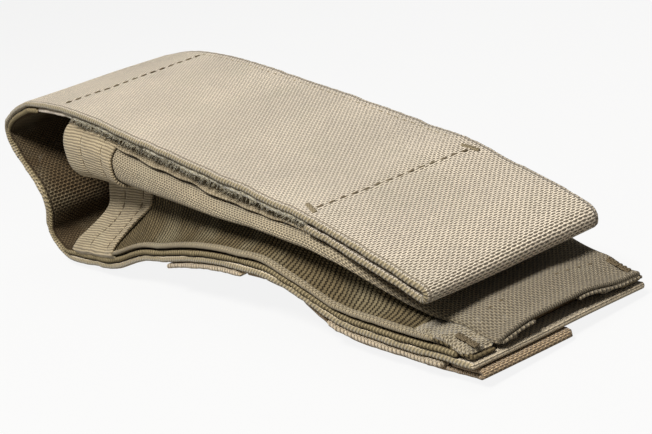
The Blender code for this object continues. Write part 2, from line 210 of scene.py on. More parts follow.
def settle(x, y, z):
    """Where a point ends up once the cloth has relaxed.

    Slow waves run through all of it. The flap's far side stands higher, the crown bulges, the
    bottom end is twisted and the near edge of the back ripples between the base and the row.
    """
    wave = noise.noise_vector(Vector((x / 34.0, y / 30.0 + 4.0, z / 34.0)))
    low = smooth((24.0 - z) / 12.0)
    far = min(1.0, max(0.0, 0.5 + y / (2 * HALF_WIDTH)))
    twist = -2.1 * smooth((x - 45.0) / 58.0) * min(1.0, (y + 9.0) / 34.0) * low
    near_lift = 0.8 * smooth((-10.0 - x) / 50.0)
    far_lift = 0.6 + 2.7 * smooth((110.0 - x) / 130.0)
    far_lift *= mix(0.2, 1.0, smooth((x + 95.0) / 45.0))
    lift = mix(near_lift, far_lift, far) * smooth((z - 16.0) / 16.0)
    bulge = -2.2 * smooth((-80.0 - x) / 12.0) * smooth(z / 9.0) * smooth((46.0 - z) / 14.0)
    sag = -0.9 * smooth((x - 62.0) / 25.0) * low
    ripple = 0.0
    if -64.0 < x < -20.0:
        ripple = -0.8 * sin(2 * pi * (x + 64.0) / 44.0) * (1 - far) * low
    calm = smooth((z + 0.5) / 6.0)
    return Vector((x + 0.25 * wave.x + bulge * mix(1.0, 0.4, far), y + 0.3 * wave.y,
                   z + 0.4 * wave.z * calm + twist + lift + ripple + sag))


# ---- routes ---------------------------------------------------------------------------------
class Route:
    """A line in a plane, measured along its length, with the direction to its right hand."""

    def __init__(self, points):
        self.points = [Vector(point) for point in points]
        self.along = [0.0]
        for before, after in zip(self.points, self.points[1:]):
            self.along.append(self.along[-1] + (after - before).length)
        self.rights = []
        last = len(self.points) - 1
        for index in range(last + 1):
            ahead = self.points[min(last, index + 1)] - self.points[max(0, index - 1)]
            ahead.normalize()
            self.rights.append(Vector((ahead.y, -ahead.x)))
        self.length = self.along[-1]

    def at(self, distance):
        """Place and right-hand direction at a distance from the start."""
        low = 0
        high = len(self.along) - 2
        while low < high:
            middle = (low + high + 1) // 2
            if self.along[middle] <= distance:
                low = middle
            else:
                high = middle - 1
        span = max(1e-9, self.along[low + 1] - self.along[low])
        share = (distance - self.along[low]) / span
        inside = min(1.0, max(0.0, share))
        right = self.rights[low].lerp(self.rights[low + 1], inside).normalized()
        return self.points[low].lerp(self.points[low + 1], share), right

    def distance_where(self, test):
        """Distance along the route of the first point that passes a test."""
        for point, distance in zip(self.points, self.along):
            if test(point):
                return distance
        return self.length


def spaced(start, end, step):
    count = max(1, round(abs(end - start) / step))
    return [mix(start, end, index / count) for index in range(count + 1)]


def webbing_line():
    """Outer face of the webbing: along the back, up the crown, over the flap and round its hem."""
    line = [(x, back_z(x)) for x in spaced(END_X, BASE_X - 0.2, 1.5)]
    points = [(BASE_X - 1.2, 0.0)]
    for reach, rise in CROWN_SHAPE:
        points.append((BASE_X - reach * CROWN_REACH, rise * CROWN_TOP_Z))
    points.append((CROWN_TOP_X - 1.2, CROWN_TOP_Z))
    line += curve_through(points, 10)
    top = [(x, flap_z(x)) for x in spaced(CROWN_TOP_X - 0.2, FLAP_TIP_X - HEM_THICK / 2, 1.5)]
    (x0, z0), (x1, z1) = top[-2:]
    slope = atan2(z1 - z0, x1 - x0)
    radius = HEM_THICK / 2
    centre = (x1 + radius * sin(slope), z1 - radius * cos(slope))
    angles = [slope + pi / 2 - pi * step / 14 for step in range(1, 14)]
    turn = [(centre[0] + radius * cos(a), centre[1] + radius * sin(a)) for a in angles]
    hem = Route([(x, flap_z(x)) for x in spaced(FLAP_TIP_X - HEM_LENGTH, x1, 1.5)])
    under = [place + HEM_THICK * right for place, right in zip(hem.points, hem.rights)]
    return line + top + turn + [tuple(point) for point in reversed(under)]


OUTER = Route(webbing_line())
SPLIT = OUTER.distance_where(lambda point: point.x < -95.0 and point.y > 31.0)


def along_flap(x):
    """Distance on the webbing's outer face of a place on the flap."""
    return OUTER.distance_where(lambda point: point.y > 12.0 and point.x >= x)


# ---- cloth work -----------------------------------------------------------------------------
def cut_cloth(length, width, thick, along, across, round_start=True, round_end=True, edge=0.42):
    """A flat rectangle of cloth with rounded edges: X from 0, Y about 0 and its face at Z = 0."""
    mesh = bmesh.new()
    bmesh.ops.create_grid(mesh, x_segments=along, y_segments=across, size=0.5)
    bmesh.ops.scale(mesh, vec=(length, width, 1.0), verts=mesh.verts)
    bmesh.ops.translate(mesh, vec=(length / 2, 0.0, 0.0), verts=mesh.verts)
    bmesh.ops.solidify(mesh, geom=mesh.faces[:], thickness=thick)
    highest = max(vert.co.z for vert in mesh.verts)
    bmesh.ops.translate(mesh, vec=(0.0, 0.0, -highest), verts=mesh.verts)
    bmesh.ops.recalc_face_normals(mesh, faces=mesh.faces[:])
    rims = []
    for item in mesh.edges:
        if len(item.link_faces) != 2 or item.calc_face_angle() < 1.0:
            continue
        middle = (item.verts[0].co + item.verts[1].co) / 2
        at_side = abs(abs(middle.y) - width / 2) < 1e-4
        if at_side or (round_start if middle.x < 1e-4 else round_end):
            rims.append(item)
        else:
            item.smooth = False
    bmesh.ops.bevel(mesh, geom=rims, offset=thick * edge, offset_type="OFFSET", segments=2,
                    profile=0.5, affect="EDGES", material=-1, clamp_overlap=True)
    for item in mesh.edges:
        middle_x = (item.verts[0].co.x + item.verts[1].co.x) / 2
        at_start = middle_x < 1e-4 and not round_start
        at_end = middle_x > length - 1e-4 and not round_end
        if (at_start or at_end) and item.calc_face_angle(0.0) > 1.0:
            item.smooth = False
    return mesh


def put_in_scene(name, data):
    made = bpy.data.objects.new(name, data)
    bpy.context.scene.collection.objects.link(made)
    return made


def make_piece(name, mesh, finish, pattern=None):
    """Turn a bmesh in millimetres into an object at the origin; pattern is its flat cloth place."""
    bmesh.ops.recalc_face_normals(mesh, faces=mesh.faces[:])
    if mesh.calc_volume(signed=True) < 0.0:
        bmesh.ops.reverse_faces(mesh, faces=mesh.faces[:])
    for vert in mesh.verts:
        vert.co *= MM
    for face in mesh.faces:
        face.smooth = True
    data = bpy.data.meshes.new(name)
    mesh.to_mesh(data)
    mesh.free()
    if pattern is not None:
        flat = data.attributes.new("cloth", "FLOAT_VECTOR", "POINT")
        flat.data.foreach_set("vector", [value * MM for place in pattern for value in place])
    data.materials.append(finish)
    piece = put_in_scene(name, data)
    return piece


def shape_cloth(name, mesh, place, finish, start=0.0, pattern_of=None):
    """Bend a flat cloth: place gives a point from its length, its width and its depth."""
    pattern = []
    for vert in mesh.verts:
        length, width, depth = vert.co.x, vert.co.y, -vert.co.z
        if pattern_of is None:
            pattern.append((start + length, width, depth))
        else:
            pattern.append((*pattern_of(length, width), depth))
        vert.co = settle(*place(length, width, depth))
    return make_piece(name, mesh, finish, pattern)


def frayed(distance, width, half, seed):
    """Width of a webbing edge, a little uneven along its length."""
    side = 0.5 if width > 0 else -0.5
    uneven = 0.36 * rough(distance / 7.0, seed, side) + 0.22 * rough(distance / 1.6, seed, side)
    return width + (uneven - 0.12) * width / half


def route_cloth(name, route, start, end, depth, thick, low, high, finish, slot, step=1.6,
                round_start=True, round_end=True, seed=1.0, swell=None):
    """A strip of webbing laid on the right-hand side of a route."""
    half = (high - low) / 2
    middle = (high + low) / 2
    mesh = cut_cloth(end - start, 2 * half, thick, max(2, round((end - start) / step)),
                     max(6, round(2 * half / 2.2)), round_start, round_end)

    def place(length, width, inside):
        distance = start + length
        point, right = route.at(distance)
        rise = 0.0 if swell is None else swell(distance, width)
        point = point + right * (depth + inside - rise)
        return point.x, middle + frayed(distance, width, half, seed), point.y

    return shape_cloth(name, mesh, place, finish, start)


# ---- stitches -------------------------------------------------------------------------------
UP = Vector((0.0, 0.0, 1.0))


def settle_mesh(mesh):
    for vert in mesh.verts:
        vert.co = settle(*vert.co)


def add_stitch(mesh, start, end, across, thick, up=UP):
    """One short stitch, pulled into the cloth at both ends."""
    ahead = end - start
    length = ahead.length
    ahead.normalize()
    side = up.cross(ahead).normalized()
    top = ahead.cross(side)
    turn = Matrix((ahead, side, top)).transposed().to_4x4()
    size = Matrix.Diagonal((length * 0.5, across * 0.5, thick * 0.5, 1.0))
    bmesh.ops.create_icosphere(mesh, subdivisions=2, radius=1.0,
                               matrix=Matrix.Translation((start + end) / 2) @ turn @ size)


def sew_line(mesh, points, pitch, across=0.5, thick=0.45, up=UP, fill=0.8):
    """Stitches one after another along a line of points in three dimensions."""
    line = [Vector(point) for point in points]
    along = [0.0]
    for before, after in zip(line, line[1:]):
        along.append(along[-1] + (after - before).length)

    def at(distance):
        for index in range(len(line) - 1):
            if distance <= along[index + 1]:
                span = max(1e-9, along[index + 1] - along[index])
                return line[index].lerp(line[index + 1], (distance - along[index]) / span)
        return line[-1].copy()

    count = max(1, round(along[-1] / pitch))
    spacing = along[-1] / count
    for index in range(count):
        start = at((index + (1 - fill) / 2) * spacing)
        end = at((index + (1 + fill) / 2) * spacing)
        add_stitch(mesh, start, end, across, thick, up)


def sew_bartack(mesh, start, end, width, drop, up=UP):
    """A dense block of stitches across a short line, over two threads that run along it."""
    ahead = end - start
    length = ahead.length
    ahead.normalize()
    side = up.cross(ahead).normalized()
    for shift in (-0.25, 0.25):
        offset = side * width * shift - up * drop
        sew_line(mesh, (start + offset, end + offset), length / 2, 0.6, 0.5, up, 1.0)
    count = round(length / 0.55)
    for index in range(count):
        middle = start + ahead * length * (index + 0.5) / count
        lean = ahead * 0.22 * (1 if index % 2 else -1)
        add_stitch(mesh, middle - side * width / 2 - lean, middle + side * width / 2 + lean,
                   0.5, 0.62, up)
    settle_mesh(mesh)


def fasten_thread(name, mesh, finish, body, *nodes):
    """Make a piece of some stitches, which rides on a body and may stand for CAD nodes."""
    piece = make_piece(name, mesh, finish)
    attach(piece, body)
    if nodes:
        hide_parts(*nodes)


# ---- section of the pouch ---------------------------------------------------------------------
def end_drop(x):
    """How far the layers come down past the lining's end."""
    return smooth((x - 94.0) / 7.0)


def lining_top(x):
    """Inner face of the back, which loses its lining at the bottom end."""
    return back_z(x) + LINED - 1.7 * end_drop(x)


def panel_top(x, y):
    """Upper face of the front panel: at its end it comes down, except beside the drain gap."""
    drain = 1.5 * smooth(1.55 - 2 * abs(y) / HALF_WIDTH) * smooth((x - 80.0) / 20.0)
    return panel_z(x) + drain - 2.2 * end_drop(x)


def roll_dip(x):
    """How far the rolled edges lie below the middle of the panel."""
    return 2.4 * smooth((x - MOUTH_X - 16.0) / 18.0) * smooth((56.0 - x) / 40.0)


@lru_cache(maxsize=None)
def pouch_section(key, side):
    """Half a section at an x: the panel and its roll, the pleated side, and the flange."""
    x = key / 20
    roll = roll_height(x) + 1.8 * smooth((50.0 - x) / 40.0)
    reach = mix(2.2, 6.2, smooth(roll / 11.0))
    drawn_in = mix(7.2 if side < 0 else 0.8, 0.0, smooth((103.0 - x) / 45.0))
    centre_y = HALF_WIDTH - drawn_in - reach
    top = panel_z(x) - 2.2 * end_drop(x)
    dip = roll_dip(x)
    panel = [(y, panel_top(x, y) - dip * smooth((y - centre_y + 8.0) / 8.0))
             for y in spaced(0.0, centre_y, 1.5)]
    half_roll = (roll - dip) / 2
    for step in range(1, 17):
        angle = pi / 2 - pi * step / 16
        out = abs(cos(angle)) ** 0.8
        rise = abs(sin(angle)) ** 0.8 * (1 if angle > 0 else -1)
        panel.append((centre_y + reach * out, top - dip - half_roll + half_roll * rise))
    inset = HALF_WIDTH - 12.0
    panel.append((inset - 0.8, top - roll))
    lining = lining_top(x)
    low = lining + FLANGE_RISE
    high = top - roll
    share = (x - MOUTH_X) / (84.0 - MOUTH_X)
    depth = mix(7.0, 5.0, min(1.0, max(0.0, share)))
    middle = mix(low, high, 0.5)
    crease = HALF_WIDTH - 1.5 - depth
    side = curve_through(((inset, high + 0.1), (mix(inset, crease, 0.5), mix(high, middle, 0.5)),
                          (crease, middle), (mix(crease, HALF_WIDTH, 0.42), mix(low, middle, 0.42)),
                          (HALF_WIDTH - 1.0, low + 0.1)), 6)
    flange = [(HALF_WIDTH - 1.0, low + 0.1), (HALF_WIDTH - 0.35, low - 0.25),
              (HALF_WIDTH - 0.35, lining + 0.75), (HALF_WIDTH - 0.9, lining + 0.3),
              (HALF_WIDTH - 7.0, lining + 0.25)]
    return Route(panel), Route(side), Route(flange)


def pouch_point(x, part, share, depth=0.0, side=1):
    """A place on the pouch wall: part is 0 on the panel, 1 on the pleat and 2 on the flange."""
    route = pouch_section(round(x * 20), side)[part]
    point, right = route.at(share * route.length)
    point = point + right * depth
    return x, side * point.x, point.y


def wall_start(rise):
    """Where the pleated side starts, from the flange up to the rolled edge."""
    return mix(FLANGE_START_X, MOUTH_X, smooth(1.6 * rise))


# ---- cloth pieces ----------------------------------------------------------------------------
def point_mm(x, y, z):
    return x * MM, y * MM, z * MM


# Bodies joined by each fold or seam, and where the cloth starts and ends to bend there
BASE_FOLD = ("back", "crown", point_mm(-76.0, 0.0, 0.0), point_mm(-96.0, 0.0, 20.0))
CROWN_FOLD = ("crown", "flap", point_mm(-90.0, 0.0, 50.0), point_mm(-71.0, 0.0, 50.0))


def blend_by(piece, weight):
    """Bake a piece's placement into its mesh and work out a weight from its flat cloth place."""
    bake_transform(piece)
    flat = piece.data.attributes["cloth"].data
    shares = [smooth(weight(*(value / MM for value in item.vector))) for item in flat]


def sew_groove(line_x):
    """A shallow dent where a stitch row, a little askew, pulls the webbing down."""
    centre = along_flap(line_x - 0.4)

    def dent(distance, width):
        near = (distance - centre - 0.12 * width) / 1.3
        if abs(near) > 3 or abs(width) > HALF_WIDTH - 2.4:
            return 0.0
        pucker = 0.8 + 0.2 * cos(2 * pi * width / 2.6)
        return -0.38 * pucker * 2.718 ** (-near * near)

    return dent


def lay_webbing(name, start, end, finish, slot, nodes, fold, flat, held, rests_on, **shape):
    """A length of the wide webbing on its route."""
    piece = route_cloth(name, OUTER, start, end, thick=WEBBING_THICK, low=-HALF_WIDTH,
                        high=HALF_WIDTH, finish=finish, slot=slot, **shape)
    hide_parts(*nodes)
    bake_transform(piece)


def make_outer_webbing(finishes):
    """One length of webbing, from the bottom end round to the flap's turned hem."""
    crown_dent = sew_groove(CROWN_STITCH_X + 0.6)
    hem_dent = sew_groove(HEM_STITCH_X + 0.6)
    droop_start = along_flap(0.0)
    tip = along_flap(FLAP_TIP_X - 0.3)

    def swell(distance, width):
        droop = -0.25 * (width / HALF_WIDTH) ** 2 * smooth((distance - droop_start) / 60.0)
        if distance > tip:
            droop = -droop
        return crown_dent(distance, width) + hem_dent(distance, width) + droop

    lay_webbing("back_webbing_cloth", 0.0, SPLIT, finishes["webbing"], "webbing",
                ["back_webbing"], BASE_FOLD, SPLIT, "laid", ["upper_row", "lower_row"],
                depth=0.0, round_end=False, seed=1.0)
    lay_webbing("flap_webbing_cloth", SPLIT, OUTER.length, finishes["flap"], "flap_webbing",
                ["crown_webbing", "flap_webbing"], CROWN_FOLD, OUTER.length - SPLIT, "folded",
                ["flap_lining_cloth"], depth=0.0, step=1.1, round_start=False, seed=1.0,
                swell=swell)


def make_lining(finishes):
    """The second layer of webbing inside the back and the crown."""
    end = along_flap(LINING_END_X)
    lay_webbing("back_lining_cloth", LINING_BACK, SPLIT, finishes["lining"], "lining",
                ["back_lining"], BASE_FOLD, SPLIT - LINING_BACK, "laid", ["back_webbing_cloth"],
                depth=LINING_IN, round_end=False, seed=5.0)
    lay_webbing("flap_lining_cloth", SPLIT, end, finishes["lining"], "lining",
                ["crown_lining", "flap_lining"], CROWN_FOLD, end - SPLIT, "folded",
                ["flap_webbing_cloth"], depth=LINING_IN, round_start=False, seed=5.0)


def make_loop_tape(finishes):
    """Fuzzy loop tape under the flap, with loose fibres along its edges."""
    start = along_flap(LOOP_START_X)
    end = along_flap(LOOP_END_X)

    def matted(distance, width):
        return 0.16 * rough(distance / 1.1, width / 1.1, 2.0) * smooth((distance - start) / 22.0)

    tape = route_cloth("loop_tape_cloth", OUTER, start, end, LINING_IN, 1.4, -LOOP_HALF,
                       LOOP_HALF, finishes["pile"], "loop_tape", step=1.0, seed=9.0, swell=matted)
    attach(tape, "flap")
    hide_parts("flap_loop_tape")
    mesh = bmesh.new()
    draw = Random(11)
    for index in range(FIBRES):
        side = -1 if index % 2 else 1
        x = mix(LOOP_START_X + 22.0, LOOP_END_X - 0.5, draw.random())
        root = Vector((x, side * (LOOP_HALF - 0.4), flap_z(x) - LINING_IN - 0.2 - 1.2 * draw.random()))
        reach = Vector((draw.uniform(-0.9, 0.9), side * draw.uniform(0.4, 1.1),
                        draw.uniform(-1.3, 0.1)))
        place = Matrix.Translation(root + reach / 2) @ reach.to_track_quat("Z", "Y").to_matrix().to_4x4()
        bmesh.ops.create_cone(mesh, segments=4, radius1=0.13, radius2=0.03,
                              depth=reach.length + 0.7, cap_ends=True, cap_tris=True, matrix=place)
    settle_mesh(mesh)
    fuzz = make_piece("loop_tape_fibres", mesh, finishes["pile"])
    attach(fuzz, "flap")


def make_hook_tape(finishes):
    """Thin hook tape on the front panel; its edges have come up in waves over the rolls."""
    length = HOOK_END_X - HOOK_START_X
    mesh = cut_cloth(length, 2 * HOOK_HALF, 0.7, 100, 36)

    def place(run, width, depth):
        x = HOOK_START_X + run
        edge = smooth((abs(width) - HOOK_HALF + 5.0) / 5.0)
        wave = rough(x / 10.0, 3.0 if width > 0 else 7.0, 0.0)
        lift = edge * ((0.7 * wave + 0.1) * smooth(run / 5.0) - 0.75 * roll_dip(x))
        y = width + 0.9 * edge * rough(x / 9.0, 1.0, 0.0)
        return x, y, panel_top(x, y) + 0.85 + lift - depth

    tape = shape_cloth("hook_tape_cloth", mesh, place, finishes["hooks"])
    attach(tape, "front")
    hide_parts("hook_tape")


def make_front_panel(finishes):
    """Front panel with a rolled edge at each side, sewn down to the back at its bottom end."""
    start = MOUTH_X + 0.4
    length = END_X - start
    half = pouch_section(0, 1)[0].length
    mesh = cut_cloth(length, 2 * half, PANEL_THICK, 108, 92)

    def place(run, width, depth):
        x = start + run
        side = 1 if width >= 0 else -1
        return pouch_point(x, 0, abs(width) / half, depth, side)

    def pattern(run, width):
        section = pouch_section(round((start + run) * 20), -1 if width < 0 else 1)[0]
        return start + run, width / half * section.length

    panel = shape_cloth("front_panel_cloth", mesh, place, finishes["panel"],
                        pattern_of=pattern)
    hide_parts("front_panel")
    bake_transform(panel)
    for name, low, high in (("near_hem_turn", -HALF_WIDTH + 8.6, -7.5),
                            ("far_hem_turn", 5.5, HALF_WIDTH - 0.6)):
        make_hem_turn(name, low, high, finishes["panel"])
    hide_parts("bottom_hem")


def make_hem_turn(name, low, high, finish):
    """Part of the panel's end turned under, beside the drain gap."""
    mesh = cut_cloth(9.2, high - low, 0.8, 10, max(4, round((high - low) / 1.6)))
    middle = (high + low) / 2

    def place(run, width, depth):
        x = END_X - 9.0 + run
        y = middle + width
        inner = smooth(1.0 - min(abs(y - low), abs(y - high)) / 2.5)
        wave = 0.25 * rough(y / 5.0, 3.0, 1.0)
        return x + wave, y, panel_top(x, y) - PANEL_THICK - 0.08 - depth - 0.1 * inner

    piece = shape_cloth(name, mesh, place, finish)
    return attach(piece, "back")


def make_corner_fold(finish):
    """The near flange's end, folded over itself outside the panel's edge."""
    length = 17.0
    leg = 5.4
    turn = 3.6
    mesh = cut_cloth(length, 2 * leg + turn, 0.9, 22, 26)

    def place(run, across, depth):
        x = END_X - 0.6 - length + run
        around = across + leg + turn / 2
        radius = 1.15 - depth
        middle = lining_top(x) + 1.3
        if around < leg:
            y, z = around - leg, -radius
        elif around < leg + turn:
            angle = pi * (around - leg) / turn - pi / 2
            y, z = radius * cos(angle), radius * sin(angle)
        else:
            y, z = leg + turn - around, radius
        lump = 0.7 * rough(x / 3.0, y / 2.5, z) - 0.5 * smooth((x - 99.0) / 4.0)
        return x + lump, -(HALF_WIDTH - 1.6 + y + 0.5 * lump), middle + z + lump

    piece = shape_cloth("near_corner_fold", mesh, place, finish)
    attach(piece, "back")


def make_flange_cord(name, side, finish):
    """The folded edge of a flange, which stands out like a cord along the back."""
    end = 92.0
    mesh = cut_cloth(end - FLANGE_START_X, 2.0, 1.1, 96, 4, edge=0.36)

    def place(run, across, depth):
        x = FLANGE_START_X + run
        uneven = 0.16 * rough(x / 1.8, side, 4.0) + 0.3 * rough(x / 9.0, side, 1.0)
        crown = 0.3 * cos(pi * across / 3.6)
        level = lining_top(x) + FLANGE_RISE + 0.1 + crown
        return x, side * (HALF_WIDTH - 0.9 + uneven + across), level - depth

    piece = shape_cloth(name, mesh, place, finish, FLANGE_START_X)
    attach(piece, "back")
    return piece


def make_gusset(name, side, finishes):
    """Pleated side with the flange that joins it to the back."""
    width = pouch_section(0, 1)[1].length + pouch_section(0, 1)[2].length
    mesh = cut_cloth(GUSSET_LENGTH, width, GUSSET_THICK, 92, 44)

    def shares(across):
        share = across / width + 0.5
        if share < FLANGE_SHARE:
            return 2, 1.0 - share / FLANGE_SHARE, 0.0
        rise = (share - FLANGE_SHARE) / (1.0 - FLANGE_SHARE)
        return 1, 1.0 - rise, rise

    def x_at(run, rise):
        end = mix(END_X - 0.4, 87.0, smooth(4 * rise))
        return mix(wall_start(rise) + 0.4, end, run / GUSSET_LENGTH)

    def place(run, across, depth):
        part, share, rise = shares(across)
        x = x_at(run, rise)
        ruffle = 0.3 * rough(x / 6.0, rise * 2.0, side * 3.0) * smooth(4 * rise)
        return pouch_point(x, part, share, depth + ruffle, side)

    def pattern(run, across):
        return x_at(run, shares(across)[2]), across

    piece = shape_cloth(name, mesh, place, finishes["gusset"], pattern_of=pattern)
    flat_low = -width / 2 + FLANGE_SHARE * width

    def weight(run, across, depth):
        return (across - flat_low) / (width / 2 - flat_low)

    blend_by(piece, weight)
    word = name.split("_")[0]
    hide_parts(word + "_gusset_lower", word + "_gusset_upper", word + "_flange")
    cord = make_flange_cord(word + "_flange_cord", side, finishes["cord"])


def make_mouth_binding(finishes):
    """Wide tape folded over the mouth's edge, from one flange over the panel to the other."""
    section = pouch_section(round(MOUTH_X * 20), 1)
    panel_reach = section[0].length
    pleat_reach = panel_reach + section[1].length
    half = pleat_reach + 4.0
    tape = BINDING_WIDTH + BINDING_TURN + BINDING_INNER
    mesh = cut_cloth(tape, 2 * half, BINDING_THICK, 48, 150)

    def wall(across):
        """Part, share of the part and rise at a distance from the middle of the mouth."""
        reach = abs(across)
        if reach <= panel_reach:
            return 0, reach / panel_reach, 1.0
        if reach <= pleat_reach:
            share = (reach - panel_reach) / (pleat_reach - panel_reach)
            return 1, share, 1.0 - share
        return 2, (reach - pleat_reach) / section[2].length, 0.0

    def place(run, across, depth):
        part, share, rise = wall(across)
        cloth = mix(GUSSET_THICK, PANEL_THICK, smooth(3 * rise - 2))
        edge_x = wall_start(rise) - 0.3
        if run < BINDING_WIDTH:
            x = edge_x + BINDING_WIDTH - run
            held = sum(2.718 ** (-((run - row) / 1.1) ** 2) for row in BINDING_ROWS)
            level = depth - BINDING_THICK - 0.3 + 0.34 * min(1.0, held)
        elif run < BINDING_WIDTH + BINDING_TURN:
            angle = pi * (run - BINDING_WIDTH) / BINDING_TURN
            radius = cloth / 2 + BINDING_THICK + 0.3 - depth
            x = edge_x - radius * sin(angle)
            level = cloth / 2 - radius * cos(angle)
        else:
            x = edge_x + run - BINDING_WIDTH - BINDING_TURN
            level = cloth + BINDING_THICK + 0.3 - depth
        held_x = max(FLANGE_START_X, x)
        return (x, *pouch_point(held_x, part, share, level, 1 if across >= 0 else -1)[1:])

    def pattern(run, across):
        return run, across

    def weight(run, across, depth):
        return wall(across)[2]

    piece = shape_cloth("mouth_binding_cloth", mesh, place, finishes["binding"],
                        pattern_of=pattern)
    blend_by(piece, weight)
    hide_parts("mouth_binding", "near_lower_binding", "far_lower_binding",
                "near_upper_binding", "far_upper_binding")
    threads = bmesh.new()
    for row in BINDING_ROWS:
        for side in (-1, 1):
            line = []
            for across in spaced(1.0, pleat_reach - 0.5, 0.8):
                part, share, rise = wall(across)
                x = wall_start(rise) - 0.3 + BINDING_WIDTH - row
                line.append(settle(*pouch_point(x, part, share, -BINDING_THICK + 0.06, side)))
            sew_line(threads, line, 3.4, 0.5, 0.5)
    rows = make_piece("mouth_binding_stitches", threads, finishes["thread"])
    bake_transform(rows)


def make_rows_and_strap(finishes):
    """Attachment webbing under the back: two crosswise rows and the lengthwise strap."""
    for name, (low, high) in (("upper_row", UPPER_ROW), ("lower_row", LOWER_ROW)):
        mesh = cut_cloth(high - low, 2 * HALF_WIDTH, ROW_THICK + 0.25, 36, 28)

        def place(run, width, depth, low=low):
            x = low + run
            outer = smooth(abs(width) / 6.0 - 3.0)
            ragged = 0.5 * rough(x / 7.0, low, 3.0) + 0.3 * rough(x / 1.5, low, 5.0)
            y = width + outer * ragged
            droop = 0.2 * smooth((-y - 15.0) / 10.0)
            return x, y, back_z(x) - 0.12 - droop - depth

        row = shape_cloth(name + "_cloth", mesh, place, finishes["row"])
        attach(row, "back")
        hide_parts(name)
    make_strap(finishes)


def strap_z(x):
    """Upper face of the strap, which drops to pass under the lower row."""
    drop = (LAYER_GAP + ROW_THICK) * smooth(1 - (LOWER_ROW[0] - 1.4 - x) / 10.0)
    return back_z(x) - LAYER_GAP - drop


def make_strap(finishes):
    """The strap: sewn down at its upper end, its lower end turned back on itself."""
    run = [(x, strap_z(x)) for x in spaced(STRAP_HINGE_X + 0.2, END_X, 1.5)]
    radius = (STRAP_THICK + LAYER_GAP) / 2 + STRAP_THICK / 2
    lower = [point + STRAP_THICK * right for point, right in zip(Route(run).points, Route(run).rights)]
    centre = (END_X, strap_z(END_X) + LAYER_GAP / 2)
    angles = [-pi / 2 + pi * step / 10 for step in range(1, 10)]
    turn = [(centre[0] + radius * cos(a), centre[1] + radius * sin(a)) for a in angles]
    top = [(x, centre[1] + radius) for x in spaced(END_X, END_X - 8.6, 1.5)]
    line = Route([tuple(point) for point in lower] + turn + top)
    flipped = Route(list(reversed([tuple(point) for point in line.points])))
    strap = route_cloth("molle_strap_cloth", flipped, 0.0, flipped.length, 0.0, STRAP_THICK,
                        STRAP_LOW_Y, STRAP_HIGH_Y, finishes["strap"], "strap_webbing", seed=13.0)
    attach(strap, "strap")
    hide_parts("molle_strap")
    mesh = cut_cloth(7.8, STRAP_HIGH_Y - STRAP_LOW_Y, STRAP_THICK, 8, 14)
    middle = (STRAP_LOW_Y + STRAP_HIGH_Y) / 2

    def place(run_x, width, depth):
        x = STRAP_ANCHOR_X + run_x
        return x, middle + width, strap_z(x) - depth

    anchor = shape_cloth("strap_anchor_cloth", mesh, place, finishes["strap"])
    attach(anchor, "back")
    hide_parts("strap_anchor")
    tack = bmesh.new()
    x = STRAP_ANCHOR_X + 4.0
    z = strap_z(x) - STRAP_THICK + 0.05
    sew_bartack(tack, Vector((x, STRAP_LOW_Y + 3.0, z)), Vector((x, STRAP_HIGH_Y - 3.0, z)), 2.6,
                0.0, -UP)
    fasten_thread("strap_bartack_thread", tack, finishes["thread"], "back", "strap_bartack")


def make_flap_stitches(finishes):
    """Stitch rows across the flap and along its far edge, and the bar tacks at its hem."""
    inset = HALF_WIDTH - STITCH_INSET
    for name, line_x, half, node in (
            ("crown_stitch_thread", CROWN_STITCH_X + 0.6, inset, "crown_stitch_row"),
            ("hem_stitch_thread", HEM_STITCH_X + 0.6, inset - 1.0, "hem_stitch_row")):
        mesh = bmesh.new()
        line = []
        for y in spaced(-half, half, 1.0):
            x = line_x - 0.4 + 0.12 * y + 0.3 * rough(y / 5.0, line_x, 0.0)
            line.append(settle(x, y, flap_surface(x, y) - 0.14))
        sew_line(mesh, line, 3.1, 0.6, 0.5, fill=0.66)
        fasten_thread(name, mesh, finishes["thread"], "flap", node)
    mesh = bmesh.new()
    line = []
    for x in spaced(CROWN_STITCH_X + 3.0, HEM_STITCH_X - 5.0, 2.0):
        y = inset + 0.25 * rough(x / 9.0, 2.0, 0.0)
        line.append(settle(x, y, flap_surface(x, y) - 0.1))
    sew_line(mesh, line, 3.0, 0.42, 0.36, fill=0.7)
    fasten_thread("far_edge_thread", mesh, finishes["tan thread"], "flap")
    for side, word in ((-1, "near"), (1, "far")):
        mesh = bmesh.new()
        y = side * (inset - 0.4)
        x = HEM_STITCH_X + 0.12 * y
        ends = [Vector((x + shift, y + 0.3 * shift * side, flap_surface(x + shift, y)))
                for shift in (-2.6, 2.0)]
        sew_bartack(mesh, ends[0], ends[1], 1.5, 0.1)
        fasten_thread(word + "_hem_bartack_thread", mesh, finishes["tan thread"], "flap",
                      word + "_hem_bartack")


def flap_surface(x, y):
    """Upper face of the flap webbing with its droop at the sides."""
    droop = 0.25 * (y / HALF_WIDTH) ** 2 * smooth(x / 60.0)
    return flap_z(x) - droop


